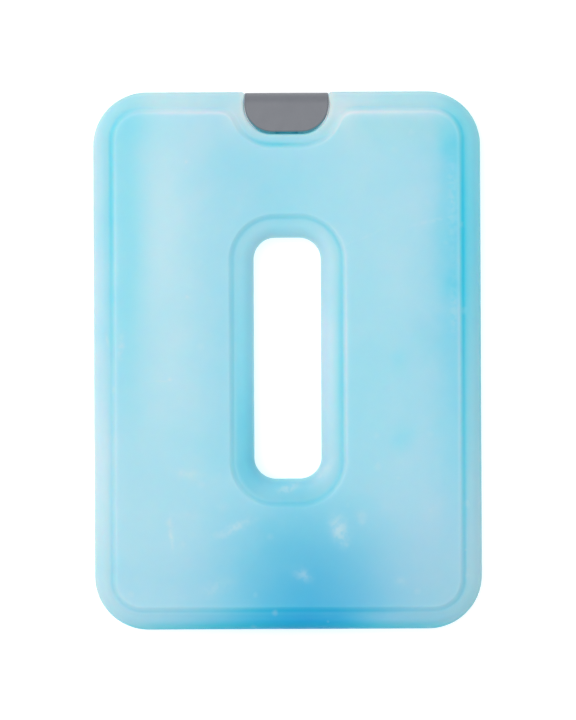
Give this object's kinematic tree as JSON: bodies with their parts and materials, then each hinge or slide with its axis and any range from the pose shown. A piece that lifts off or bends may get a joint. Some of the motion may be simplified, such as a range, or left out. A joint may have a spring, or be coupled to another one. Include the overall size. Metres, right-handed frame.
{
  "type": "reusable ice pack",
  "caption": "Slim hard-shell reusable ice pack: a translucent blow-moulded bottle of blue coolant with a hand slot and a grey filler cap set into its top edge.",
  "frame": {"origin": "on the surface the pack lies on, under the middle of the body, which also middles the body between its top and bottom edges", "axes": "+X across the pack to its right side, +Y up the pack towards the cap, +Z out of the front face, through the thickness"},
  "size_m": [0.184, 0.2554, 0.019],
  "materials": {
    "shell": "frosted translucent polyethylene",
    "coolant": "frozen blue gel",
    "plug": "natural moulded polyethylene",
    "cap": "satin grey moulded polypropylene"
  },
  "bodies": {
    "root": {"shell": "shell", "coolant": "coolant", "filler_plug": "plug", "cap": "cap"}
  },
  "joints": []
}
